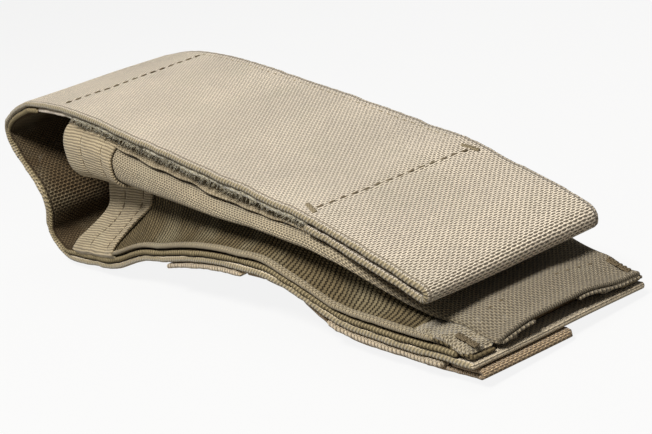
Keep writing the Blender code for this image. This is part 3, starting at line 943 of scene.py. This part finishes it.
def make_bottom_stitches(finishes):
    """Corner bar tacks and the few stitches that hold the hem beside the drain gap."""
    for side, word, start_x, end_x, level in ((-1, "near", 97.0, 102.6, -0.1),
                                              (1, "far", 96.0, 102.0, 0.05)):
        mesh = bmesh.new()
        y = side * (HALF_WIDTH - 2.8)
        ends = [Vector((x, y, panel_top(x, y) + level)) for x in (start_x, end_x)]
        sew_bartack(mesh, ends[0], ends[1], 2.0, 0.1)
        fasten_thread(word + "_corner_bartack_thread", mesh, finishes["thread"], "back",
                      word + "_corner_bartack")
    mesh = bmesh.new()
    for low, high in ((-HALF_WIDTH + 12.0, -7.0), (6.0, HALF_WIDTH - 6.0)):
        line = [settle(END_X - 7.8, y, panel_top(END_X - 7.8, y) - 0.08)
                for y in spaced(low, high, 1.0)]
        sew_line(mesh, line, 3.6, 0.5, 0.45, fill=0.4)
    piece = make_piece("hem_end_thread", mesh, finishes["thread"])
    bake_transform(piece)


# ---- finishes --------------------------------------------------------------------------------
class Graph:
    """Shader nodes, laid down and joined one after another."""

    def __init__(self, tree):
        self.tree = tree

    def add(self, kind, **settings):
        made = self.tree.nodes.new(kind)
        for name, value in settings.items():
            setattr(made, name, value)
        return made

    def join(self, value, socket):
        if isinstance(value, bpy.types.NodeSocket):
            self.tree.links.new(value, socket)
        else:
            socket.default_value = value

    def parts(self, vector):
        """The X, Y and Z of a vector."""
        made = self.add("ShaderNodeSeparateXYZ")
        self.join(vector, made.inputs[0])
        return made.outputs

    def vector(self, *values):
        made = self.add("ShaderNodeCombineXYZ")
        for value, socket in zip(values, made.inputs):
            self.join(value, socket)
        return made.outputs[0]

    def draw(self, *values):
        """A random number from 0 to 1 for each set of values."""
        made = self.add("ShaderNodeTexWhiteNoise", noise_dimensions="3D")
        self.join(self.vector(*values), made.inputs["Vector"])
        return made.outputs["Value"]

    def math(self, operation, *values):
        made = self.add("ShaderNodeMath", operation=operation)
        for value, socket in zip(values, made.inputs):
            self.join(value, socket)
        return made.outputs[0]

    def spread(self, value, low, high, to_low=0.0, to_high=1.0):
        made = self.add("ShaderNodeMapRange", interpolation_type="SMOOTHSTEP")
        for item, socket in zip((value, low, high, to_low, to_high), made.inputs):
            self.join(item, socket)
        return made.outputs[0]

    def tint(self, share, first, second, kind="MIX"):
        made = self.add("ShaderNodeMix", data_type="RGBA", blend_type=kind)
        self.join(share, made.inputs[0])
        self.join(first, made.inputs[6])
        self.join(second, made.inputs[7])
        return made.outputs[2]

    def grain(self, vector, scale, detail=3.0, rough=0.55):
        made = self.add("ShaderNodeTexNoise")
        self.join(vector, made.inputs["Vector"])
        made.inputs["Scale"].default_value = scale
        made.inputs["Detail"].default_value = detail
        made.inputs["Roughness"].default_value = rough
        return made.outputs["Fac"]

    def stretch(self, vector, scale):
        made = self.add("ShaderNodeMapping")
        self.join(vector, made.inputs["Vector"])
        made.inputs["Scale"].default_value = scale
        return made.outputs["Vector"]


def shader_group(name, inputs, outputs):
    """A node group with named sockets; each is (name, kind) or (name, kind, value)."""
    tree = bpy.data.node_groups.new(name, "ShaderNodeTree")
    kinds = {"float": "NodeSocketFloat", "vector": "NodeSocketVector", "color": "NodeSocketColor"}
    for label, kind, *value in inputs:
        socket = tree.interface.new_socket(name=label, in_out="INPUT", socket_type=kinds[kind])
        if value:
            socket.default_value = value[0]
    for label, kind in outputs:
        tree.interface.new_socket(name=label, in_out="OUTPUT", socket_type=kinds[kind])
    graph = Graph(tree)
    return graph, graph.add("NodeGroupInput").outputs, graph.add("NodeGroupOutput").inputs


WEAVE_OUTPUTS = [("Gap", "float"), ("Height", "float"), ("Tone", "float")]


def woven_group():
    """Plain weave: gaps in staggered rows, rounded yarns between, and a tone for each yarn with painted
    shading on it.
    """
    graph, given, out = shader_group(
        "woven yarns",
        [("Cloth", "vector"), ("Row", "float", 0.0006), ("Column", "float", 0.0016),
         ("Gap Width", "float", 0.3), ("Gap Length", "float", 0.36)], WEAVE_OUTPUTS)
    x, y = graph.parts(given["Cloth"])[:2]
    wander = graph.grain(given["Cloth"], 420.0, 2.0)
    shift = graph.math("MULTIPLY_ADD", wander, 0.5, -0.25)
    along = graph.math("ADD", graph.math("DIVIDE", x, given["Row"]), shift)
    row = graph.math("FLOOR", graph.math("ADD", along, 0.5))
    from_row = graph.math("SUBTRACT", along, row)
    odd = graph.math("FLOORED_MODULO", row, 2.0)
    across = graph.math("MULTIPLY_ADD", odd, 0.5, graph.math("DIVIDE", y, given["Column"]))
    column = graph.math("FLOOR", across)
    from_column = graph.math("SUBTRACT", graph.math("SUBTRACT", across, column), 0.5)
    short = graph.math("POWER", graph.math("DIVIDE", from_row, given["Gap Width"]), 2.0)
    long = graph.math("POWER", graph.math("DIVIDE", from_column, given["Gap Length"]), 2.0)
    reach = graph.math("ADD", short, long)
    tone = graph.draw(row, column)
    edge = graph.math("MULTIPLY_ADD", tone, 0.45, 0.9)
    gap = graph.math("SUBTRACT", 1.0, graph.spread(reach, 0.35, edge))
    fibre = graph.grain(graph.stretch(given["Cloth"], (1.0, 0.25, 1.0)), 5200.0, 2.0)
    crown = graph.spread(reach, 0.3, 2.6)
    height = graph.math("MULTIPLY_ADD", fibre, 0.22, crown)
    # Painted shading on each yarn: lighter on its crown, darker toward the gaps; it goes into Tone.
    painted_yarn_shading = graph.spread(reach, 0.6, 2.4)
    graph.join(gap, out["Gap"])
    graph.join(height, out["Height"])
    graph.join(graph.math("MULTIPLY_ADD", painted_yarn_shading, 0.65, graph.math("MULTIPLY", tone, 0.4)), out["Tone"])
    return graph.tree


def ribbed_group():
    """Ribs along the cloth with fine cross threads, as on binding tape and the lining."""
    graph, given, out = shader_group(
        "ribbed yarns",
        [("Cloth", "vector"), ("Rib", "float", 0.001), ("Pick", "float", 0.0005)], WEAVE_OUTPUTS)
    x, y = graph.parts(given["Cloth"])[:2]
    wander = graph.math("MULTIPLY_ADD", graph.grain(given["Cloth"], 260.0, 2.0), 0.7, -0.35)
    across = graph.math("ADD", graph.math("DIVIDE", y, given["Rib"]), wander)
    along = graph.math("DIVIDE", x, given["Pick"])
    rib = graph.math("FLOOR", across)
    odd = graph.math("FLOORED_MODULO", rib, 2.0)
    pick = graph.math("MULTIPLY_ADD", odd, 0.5, along)
    wave, cross = [
        graph.math("MULTIPLY_ADD", graph.math("COSINE", graph.math("MULTIPLY", turns, 2 * pi)), -0.5, 0.5)
        for turns in (across, pick)]
    height = graph.math("MULTIPLY_ADD", cross, 0.35, graph.math("MULTIPLY", wave, 0.65))
    tone = graph.draw(rib, graph.math("FLOOR", graph.math("DIVIDE", pick, 6.0)))
    graph.join(graph.spread(height, 0.6, 0.12), out["Gap"])
    graph.join(height, out["Height"])
    # Tone holds painted shading across each rib, lighter where it stands high, together with each rib's
    # own tone.
    graph.join(graph.math("MULTIPLY_ADD", height, 0.6, graph.math("MULTIPLY", tone, 0.4)), out["Tone"])
    return graph.tree


def worn_group():
    """Colour of worn nylon: slow shifts of tone, yarn to yarn shifts with the painted shading that Tone
    brings, dark gaps and pale dust.
    """
    graph, given, out = shader_group(
        "worn nylon",
        [("Place", "vector"), ("Yarn", "color", (0.5, 0.4, 0.3, 1.0)),
         ("Shade", "color", (0.1, 0.08, 0.05, 1.0)), ("Gap", "float", 0.0), ("Tone", "float", 0.5),
         ("Gap Strength", "float", 0.8), ("Tone Strength", "float", 0.14)],
        [("Color", "color"), ("Roughness", "float")])
    slow = graph.grain(given["Place"], 38.0, 3.0)
    patch = graph.spread(slow, 0.3, 0.7, 0.88, 1.08)
    fine = graph.spread(graph.grain(given["Place"], 900.0, 2.0), 0.25, 0.75, 0.93, 1.06)
    yarn = graph.math("MULTIPLY_ADD", graph.math("SUBTRACT", given["Tone"], 0.5),
                      given["Tone Strength"], 1.0)
    bright = graph.math("MULTIPLY", graph.math("MULTIPLY", patch, fine), yarn)
    mixed = graph.add("ShaderNodeVectorMath", operation="SCALE")
    graph.join(given["Yarn"], mixed.inputs[0])
    graph.join(bright, mixed.inputs["Scale"])
    warm = graph.tint(graph.spread(graph.grain(given["Place"], 75.0, 2.0), 0.45, 0.75, 0.0, 0.25),
                      mixed.outputs[0], (0.36, 0.33, 0.22, 1.0))
    dark = graph.math("MULTIPLY", given["Gap"], given["Gap Strength"])
    shaded = graph.tint(dark, warm, given["Shade"])
    dust = graph.spread(graph.grain(given["Place"], 210.0, 4.0, 0.7), 0.62, 0.8, 0.0, 0.22)
    graph.join(graph.tint(dust, shaded, (0.62, 0.56, 0.46, 1.0)), out["Color"])
    graph.join(graph.math("MULTIPLY_ADD", given["Gap"], 0.12, graph.spread(slow, 0.3, 0.7, 0.74, 0.86)),
               out["Roughness"])
    return graph.tree


def selvedge_group():
    """Masks of a webbing's edges, of the seam beside them and of its cut end."""
    graph, given, out = shader_group(
        "selvedge", [("Cloth", "vector"), ("Half Width", "float", 0.0254), ("Pitch", "float", 0.0008)],
        [("Edge", "float"), ("Seam", "float"), ("End", "float"), ("Height", "float"),
         ("Groove", "float")])
    x, y, z = graph.parts(given["Cloth"])
    away = graph.math("SUBTRACT", graph.math("ABSOLUTE", y), given["Half Width"])
    lean = graph.math("MULTIPLY_ADD", z, 0.5, x)
    wave = graph.math("SINE", graph.math("MULTIPLY", graph.math("DIVIDE", lean, given["Pitch"]), 2 * pi))
    ply = graph.math("SINE", graph.math("MULTIPLY", z, 2 * pi / 0.00055))
    off_seam = graph.math("ABSOLUTE", graph.math("ADD", away, 0.00105))
    graph.join(graph.spread(away, -0.0006, -0.0002), out["Edge"])
    graph.join(graph.spread(off_seam, 0.0004, 0.00015), out["Seam"])
    graph.join(graph.spread(x, 0.0007, 0.0003), out["End"])
    graph.join(graph.math("MULTIPLY_ADD", wave, 0.5, 0.5), out["Height"])
    graph.join(graph.math("MULTIPLY_ADD", ply, 0.5, 0.5), out["Groove"])
    return graph.tree


def use_group(graph, tree, **values):
    made = graph.add("ShaderNodeGroup", node_tree=tree)
    for name, value in values.items():
        graph.join(value, made.inputs[name.replace("_", " ")])
    return made.outputs


def new_finish(name, **fixed):
    """A material, the graph of its nodes and its shader, with some of the shader's values fixed."""
    made = bpy.data.materials.new(name)
    made.use_nodes = True
    shader = made.node_tree.nodes["Principled BSDF"]
    for label, value in fixed.items():
        shader.inputs[label.replace("_", " ")].default_value = value
    return made, Graph(made.node_tree), shader


def join_surface(graph, shader, worn, color, height, distance):
    """Lead a finish's colour, roughness and relief to its shader."""
    relief = graph.add("ShaderNodeBump")
    relief.inputs["Strength"].default_value = 1.0
    relief.inputs["Distance"].default_value = distance
    graph.join(height, relief.inputs["Height"])
    graph.join(color, shader.inputs["Base Color"])
    graph.join(worn["Roughness"], shader.inputs["Roughness"])
    graph.join(relief.outputs["Normal"], shader.inputs["Normal"])


def solid(color, share=1.0):
    """A colour, or a share of it, as a socket's value."""
    return (*(part * share for part in color), 1.0)


def woven_finish(groups, name, weave, yarn, shade, bump, edge_color=None, swap=False, sheen=0.2,
                 gap_strength=0.85, tone_strength=0.16, gloss=0.2, painted_roll_light=None):
    """A cloth finish: weave is (group, sizes), colours are for yarns and the gaps between them.

    The last argument gives a paler yarn colour painted along the two side rolls as painted light, where
    the lamps fall on their sides.
    """
    made, graph, shader = new_finish(name, Specular_IOR_Level=gloss, Sheen_Weight=sheen,
                                     Sheen_Roughness=0.6)
    flat = graph.add("ShaderNodeAttribute", attribute_name="cloth").outputs["Vector"]
    cloth = flat
    if swap:
        x, y, z = graph.parts(flat)
        cloth = graph.vector(y, x, z)
    kind, sizes = weave
    woven = use_group(graph, groups[kind], Cloth=cloth, **sizes)
    place = graph.add("ShaderNodeTexCoord").outputs["Object"]
    face = solid(yarn)
    # Painted light: the outer sides of the two rolls, toward the mouth, get a paler yarn colour where the
    # lamps fall on them.
    if painted_roll_light is not None:
        x, y = graph.parts(place)[:2]
        side = graph.spread(graph.math("ABSOLUTE", y), 0.0205, 0.0235)
        upper = graph.spread(x, 0.085, 0.06)
        face = graph.tint(graph.math("MULTIPLY", side, upper), face, solid(painted_roll_light))
    worn = use_group(graph, groups["worn"], Place=place, Yarn=face, Shade=solid(shade),
                     Gap=woven["Gap"], Tone=woven["Tone"], Gap_Strength=gap_strength,
                     Tone_Strength=tone_strength)
    color = worn["Color"]
    height = woven["Height"]
    if edge_color is not None:
        rim = use_group(graph, groups["selvedge"], Cloth=flat, Half_Width=0.0254, Pitch=0.0011)
        stitched = graph.tint(rim["Height"], solid(edge_color, 0.4), solid(edge_color))
        cut = graph.tint(rim["Groove"], solid(yarn, 0.5), solid(yarn))
        color = graph.tint(graph.math("MULTIPLY", rim["Seam"], 0.75), color, solid(shade))
        color = graph.tint(rim["Edge"], color, stitched)
        color = graph.tint(rim["End"], color, cut)
        plain = graph.math("SUBTRACT", 1.0, graph.math("MAXIMUM", rim["Edge"], rim["Seam"]))
        height = graph.math("ADD", graph.math("MULTIPLY", height, plain),
                            graph.math("MULTIPLY", rim["Height"], rim["Edge"]))
        height = graph.math("MULTIPLY_ADD", rim["Groove"], rim["End"], height)
    join_surface(graph, shader, worn, color, height, bump)
    return made


def thread_finish(groups, name, yarn):
    """Bonded nylon thread with a tight twist."""
    made, graph, shader = new_finish(name, Specular_IOR_Level=0.3)
    place = graph.add("ShaderNodeTexCoord").outputs["Object"]
    twist = graph.add("ShaderNodeTexWave", bands_direction="DIAGONAL")
    graph.join(place, twist.inputs["Vector"])
    twist.inputs["Scale"].default_value = 900.0
    twist.inputs["Distortion"].default_value = 1.5
    ply = twist.outputs["Fac"]
    worn = use_group(graph, groups["worn"], Place=place, Yarn=solid(yarn), Shade=solid(yarn, 0.25),
                     Gap=graph.math("SUBTRACT", 1.0, ply), Gap_Strength=0.5)
    join_surface(graph, shader, worn, worn["Color"], ply, 0.0001)
    return made


def pile_finish(groups):
    """Brushed loops, matted and grey green."""
    made, graph, shader = new_finish("matted loop pile", Specular_IOR_Level=0.15,
                                     Sheen_Weight=0.5, Sheen_Roughness=0.5)
    place = graph.add("ShaderNodeTexCoord").outputs["Object"]
    tuft = graph.grain(place, 1500.0, 4.0, 0.7)
    matted = graph.spread(graph.parts(place)[0], -0.062, -0.046)
    yarn = graph.tint(matted, (0.60, 0.49, 0.36, 1.0), (0.40, 0.35, 0.235, 1.0))
    worn = use_group(graph, groups["worn"], Place=place, Yarn=yarn, Shade=(0.075, 0.06, 0.035, 1.0),
                     Gap=graph.spread(tuft, 0.55, 0.38),
                     Gap_Strength=graph.math("MULTIPLY_ADD", matted, 0.5, 0.3))
    join_surface(graph, shader, worn, worn["Color"], tuft, 0.0004)
    return made


def make_finishes():
    """Every finish by its short name; cloths are weave, yarn, gap, relief depth and settings."""
    groups = {"woven": woven_group(), "ribbed": ribbed_group(), "worn": worn_group(),
              "selvedge": selvedge_group()}
    coarse = ("woven", dict(Row=0.000625, Column=0.0015875, Gap_Width=0.31, Gap_Length=0.46))
    tight = ("woven", dict(Row=0.000625, Column=0.0015875, Gap_Width=0.26, Gap_Length=0.34))
    basket = ("woven", dict(Row=0.0006, Column=0.00115, Gap_Width=0.42, Gap_Length=0.44))
    dotted = ("woven", dict(Row=0.0006, Column=0.0013, Gap_Width=0.36, Gap_Length=0.42))
    knotted = ("woven", dict(Row=0.0007, Column=0.0014, Gap_Width=0.38, Gap_Length=0.38))
    pleat_ribs = ("ribbed", dict(Rib=0.0014, Pick=0.0008))
    tape_ribs = ("ribbed", dict(Rib=0.00075, Pick=0.0007))
    edge = (0.34, 0.27, 0.15)
    cloths = {
        "flap": ("tan flap webbing", coarse, (0.71, 0.60, 0.45), (0.085, 0.063, 0.036), 0.0003,
                 dict(edge_color=edge, gap_strength=1.0, tone_strength=0.5)),
        "webbing": ("tan back webbing", tight, (0.60, 0.49, 0.33), (0.09, 0.065, 0.035), 0.0002,
                    dict(edge_color=edge)),
        # The lining's yarn colour is its own dark brown, darkened further as painted shade for the shade
        # inside the crown.
        "lining": ("olive lining webbing", knotted, (0.13, 0.088, 0.045), (0.016, 0.010, 0.005),
                   0.0004, dict(edge_color=edge, gap_strength=0.9, tone_strength=0.5, sheen=0.0,
                                gloss=0.1)),
        "row": ("tan row webbing", dotted, (0.52, 0.41, 0.265), (0.10, 0.07, 0.035), 0.0003,
                dict(tone_strength=0.4)),
        "strap": ("brown strap webbing", dotted, (0.50, 0.35, 0.19), (0.07, 0.04, 0.018), 0.0003,
                  dict(tone_strength=0.4)),
        # The panel's paler colour for the rolls is painted light on their sides.
        "panel": ("olive panel cloth", basket, (0.31, 0.25, 0.158), (0.045, 0.033, 0.019), 0.0003,
                  dict(swap=True, tone_strength=0.6, sheen=0.1, painted_roll_light=(0.56, 0.455, 0.29))),
        "fold": ("olive folded tape", dotted, (0.40, 0.325, 0.20), (0.05, 0.035, 0.018), 0.0003,
                 dict(tone_strength=0.5)),
        # The pleat cloth's yarn and gap colours are its own dark olive, darkened further as painted shade
        # for the recess under the rolled edges.
        "gusset": ("olive pleat cloth", pleat_ribs, (0.125, 0.094, 0.048), (0.012, 0.008, 0.004),
                   0.0004, dict(swap=True, gap_strength=1.0, tone_strength=0.6, sheen=0.0,
                                gloss=0.1)),
        "cord": ("tan flange fold", dotted, (0.40, 0.32, 0.19), (0.07, 0.05, 0.025), 0.0003,
                 dict(tone_strength=0.5, sheen=0.1)),
        "binding": ("tan binding tape", tape_ribs, (0.37, 0.295, 0.182), (0.10, 0.073, 0.038),
                    0.0002, dict(gap_strength=0.8, tone_strength=0.5, sheen=0.1)),
        "hooks": ("yellow tan hook tape", dotted, (0.46, 0.37, 0.23), (0.14, 0.10, 0.05), 0.00025,
                  dict(sheen=0.1)),
    }
    finishes = {word: woven_finish(groups, *cloth[:-1], **cloth[-1]) for word, cloth in cloths.items()}
    finishes["pile"] = pile_finish(groups)
    finishes["thread"] = thread_finish(groups, "brown sewing thread", (0.15, 0.11, 0.06))
    finishes["tan thread"] = thread_finish(groups, "tan sewing thread", (0.27, 0.215, 0.13))
    return finishes


# ---- studio ----------------------------------------------------------------------------------
def make_studio():
    """Pale floor, soft light all round and a large soft light overhead."""
    mesh = bmesh.new()
    bmesh.ops.create_grid(mesh, x_segments=1, y_segments=1, size=30000.0)
    bmesh.ops.translate(mesh, vec=(0.0, 0.0, FLOOR_Z), verts=mesh.verts)
    for vert in mesh.verts:
        vert.co *= MM
    data = bpy.data.meshes.new("studio_floor")
    mesh.to_mesh(data)
    mesh.free()
    made, graph, shader = new_finish("pale floor", Base_Color=(0.36, 0.35, 0.33, 1.0),
                                     Roughness=0.9, Specular_IOR_Level=0.0)
    glow = graph.add("ShaderNodeEmission")
    glow.inputs["Strength"].default_value = 1.02
    seen = graph.math("MULTIPLY", graph.add("ShaderNodeLightPath").outputs["Is Camera Ray"], 0.86)
    both = graph.add("ShaderNodeMixShader")
    graph.join(seen, both.inputs[0])
    graph.join(shader.outputs[0], both.inputs[1])
    graph.join(glow.outputs[0], both.inputs[2])
    graph.join(both.outputs[0], made.node_tree.nodes["Material Output"].inputs["Surface"])
    data.materials.append(made)
    put_in_scene("studio_floor", data)
    world = bpy.data.worlds.new("soft studio")
    world.use_nodes = True
    sky = world.node_tree.nodes["Background"]
    sky.inputs["Color"].default_value = solid((1.0, 1.0, 1.0))
    sky.inputs["Strength"].default_value = 0.14
    bpy.context.scene.world = world
    for name, place, size, power in (("overhead_light", (-0.1, 0.15, 1.0), 0.6, 2.6),
                                     ("front_light", (0.26, -0.52, 0.9), 0.3, 17.0)):
        lamp = bpy.data.lights.new(name, "AREA")
        lamp.shape = "DISK"
        lamp.size = size
        lamp.energy = power
        light = put_in_scene(name, lamp)
        light.location = place
        light.rotation_euler = (-light.location).to_track_quat("-Z", "Y").to_euler()
    bpy.context.scene.view_settings.view_transform = "Standard"


def make_camera():
    """A long lens, a little above the pouch and turned on its axis."""
    target = Vector((0.0255, 0.0, 0.0171))
    turn = radians(57.066)
    lift = radians(16.297)
    roll = radians(-13.484)
    back = Vector((sin(turn) * cos(lift), -cos(turn) * cos(lift), sin(lift)))
    right = Vector((0.0, 0.0, 1.0)).cross(back).normalized()
    up = back.cross(right)
    tilted_right = cos(roll) * right + sin(roll) * up
    tilted_up = cos(roll) * up - sin(roll) * right
    lens = bpy.data.cameras.new("camera")
    lens.lens = 71.77
    lens.sensor_width = 36.0
    lens.clip_start = 0.01
    lens.clip_end = 200.0
    camera = put_in_scene("camera", lens)
    camera.matrix_world = Matrix.Translation(target + back * 0.3248) @ Matrix(
        (tilted_right, tilted_up, back)).transposed().to_4x4()
    bpy.context.scene.camera = camera


def make_pouch():
    finishes = make_finishes()
    make_outer_webbing(finishes)
    make_lining(finishes)
    make_loop_tape(finishes)
    make_hook_tape(finishes)
    make_front_panel(finishes)
    make_gusset("near_gusset_cloth", -1, finishes)
    make_gusset("far_gusset_cloth", 1, finishes)
    make_corner_fold(finishes["fold"])
    make_mouth_binding(finishes)
    make_rows_and_strap(finishes)
    make_flap_stitches(finishes)
    make_bottom_stitches(finishes)


make_pouch()
make_studio()
make_camera()
